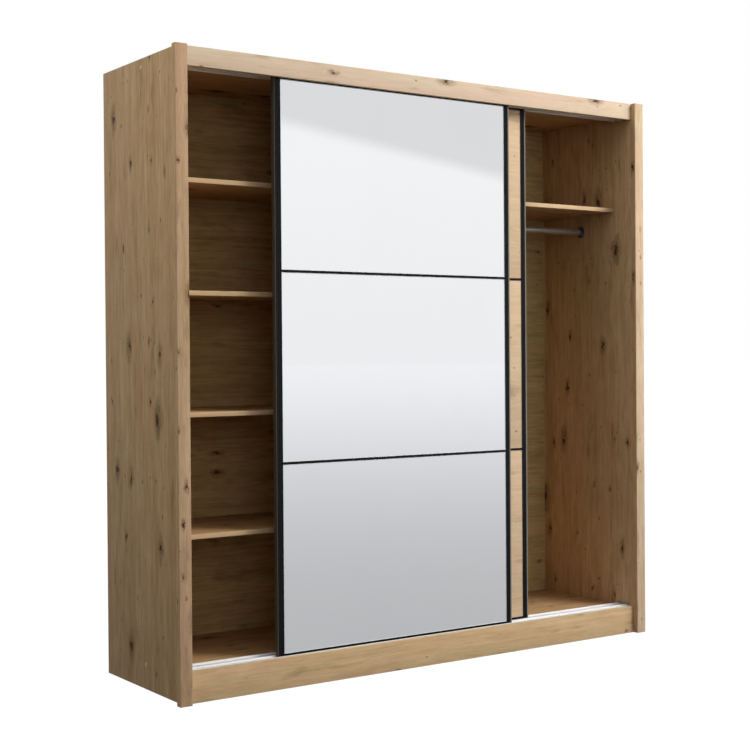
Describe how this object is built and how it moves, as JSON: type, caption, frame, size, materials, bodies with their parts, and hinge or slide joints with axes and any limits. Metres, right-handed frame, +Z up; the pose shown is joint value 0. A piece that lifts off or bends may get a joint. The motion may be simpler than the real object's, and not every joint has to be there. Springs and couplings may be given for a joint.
{
  "type": "sliding door wardrobe",
  "caption": "Free-standing wardrobe with a mirrored and a wooden sliding door on bottom rollers, with shelves on one side and a hanging rail on the other.",
  "frame": {"origin": "on the floor, under the middle of the wardrobe", "axes": "+Z up, +X to the right as seen from the front, +Y from the front to the back, so the front faces -Y"},
  "size_m": [2.008, 0.58, 2.1],
  "materials": {
    "oak": "knotty oak print on board, satin, with matching edge strip",
    "hardboard": "thin oak-printed hardboard, matt",
    "black_profile": "matt black anodised or painted aluminium section",
    "mirror_panel": "silvered mirror bonded to a backing board",
    "aluminium_track": "plain satin extrusion",
    "rail_steel": "dull plated tube",
    "black_plastic": "moulded, matt",
    "grey_plastic": "moulded, matt",
    "wheel_plastic": "moulded, smooth tread",
    "cap_plastic": "light wood-coloured cap",
    "bracket_steel": "zinc-plated sheet"
  },
  "bodies": {
    "carcass": {"left_side_panel": "oak", "right_side_panel": "oak", "left_front_post": "oak", "right_front_post": "oak", "top_rail": "oak", "front_plinth": "oak", "top_panel": "oak", "bottom_panel": "oak", "rear_plinth": "oak", "centre_support": "oak", "centre_divider": "oak", "left_shelf_1": "oak", "left_shelf_2": "oak", "left_shelf_3": "oak", "left_shelf_4": "oak", "right_shelf": "oak", "left_back_panel": "hardboard", "right_back_panel": "hardboard", "back_joint_strip": "grey_plastic", "hanging_rail": "rail_steel", "rail_flange_left": "black_plastic", "rail_flange_right": "black_plastic", "lower_track": "aluminium_track", "upper_track": "aluminium_track", "left_door_stop": "grey_plastic", "right_door_stop": "grey_plastic", "left_top_cover_cap": "cap_plastic", "left_bottom_cover_cap": "cap_plastic", "right_top_cover_cap": "cap_plastic", "right_bottom_cover_cap": "cap_plastic"},
    "mirror_door": {"mirror_door_left_stile": "black_profile", "mirror_door_right_stile": "black_profile", "mirror_door_bottom_profile": "black_profile", "mirror_door_top_profile": "black_profile", "mirror_door_divider_1": "black_profile", "mirror_door_divider_2": "black_profile", "mirror_door_mirror_1": "mirror_panel", "mirror_door_mirror_2": "mirror_panel", "mirror_door_mirror_3": "mirror_panel", "mirror_door_left_roller_bracket": "bracket_steel", "mirror_door_left_top_guide": "grey_plastic", "mirror_door_right_roller_bracket": "bracket_steel", "mirror_door_right_top_guide": "grey_plastic"},
    "mirror_door_left_wheel": {"mirror_door_left_wheel": "wheel_plastic"},
    "mirror_door_right_wheel": {"mirror_door_right_wheel": "wheel_plastic"},
    "wood_door": {"wood_door_left_stile": "black_profile", "wood_door_right_stile": "black_profile", "wood_door_bottom_profile": "black_profile", "wood_door_top_profile": "black_profile", "wood_door_divider_1": "black_profile", "wood_door_divider_2": "black_profile", "wood_door_panel_1": "oak", "wood_door_panel_2": "oak", "wood_door_panel_3": "oak", "wood_door_left_roller_bracket": "bracket_steel", "wood_door_left_top_guide": "grey_plastic", "wood_door_right_roller_bracket": "bracket_steel", "wood_door_right_top_guide": "grey_plastic"},
    "wood_door_left_wheel": {"wood_door_left_wheel": "wheel_plastic"},
    "wood_door_right_wheel": {"wood_door_right_wheel": "wheel_plastic"}
  },
  "joints": [
    {"name": "mirror_door_slide", "type": "slide", "parent": "carcass", "child": "mirror_door", "axis": [1, 0, 0], "range_m": [-0.326, 0.591]},
    {"name": "mirror_door_left_wheel_turn", "type": "hinge", "parent": "mirror_door", "child": "mirror_door_left_wheel", "pos_m": [-0.518, -0.2265, 0.1183], "axis": [0, 1, 0], "range_deg": [-4000, 4000]},
    {"name": "mirror_door_right_wheel_turn", "type": "hinge", "parent": "mirror_door", "child": "mirror_door_right_wheel", "pos_m": [0.253, -0.2265, 0.1183], "axis": [0, 1, 0], "range_deg": [-4000, 4000]},
    {"name": "wood_door_slide", "type": "slide", "parent": "carcass", "child": "wood_door", "axis": [1, 0, 0], "range_m": [-0.44, 0.477]},
    {"name": "wood_door_left_wheel_turn", "type": "hinge", "parent": "wood_door", "child": "wood_door_left_wheel", "pos_m": [-0.404, -0.1825, 0.1183], "axis": [0, 1, 0], "range_deg": [-4000, 4000]},
    {"name": "wood_door_right_wheel_turn", "type": "hinge", "parent": "wood_door", "child": "wood_door_right_wheel", "pos_m": [0.367, -0.1825, 0.1183], "axis": [0, 1, 0], "range_deg": [-4000, 4000]}
  ],
  "couplings": [
    {"joint": "mirror_door_left_wheel_turn", "follows": "mirror_door_slide", "rad_per_m": 105.26},
    {"joint": "mirror_door_right_wheel_turn", "follows": "mirror_door_slide", "rad_per_m": 105.26},
    {"joint": "wood_door_left_wheel_turn", "follows": "wood_door_slide", "rad_per_m": 105.26},
    {"joint": "wood_door_right_wheel_turn", "follows": "wood_door_slide", "rad_per_m": 105.26}
  ]
}
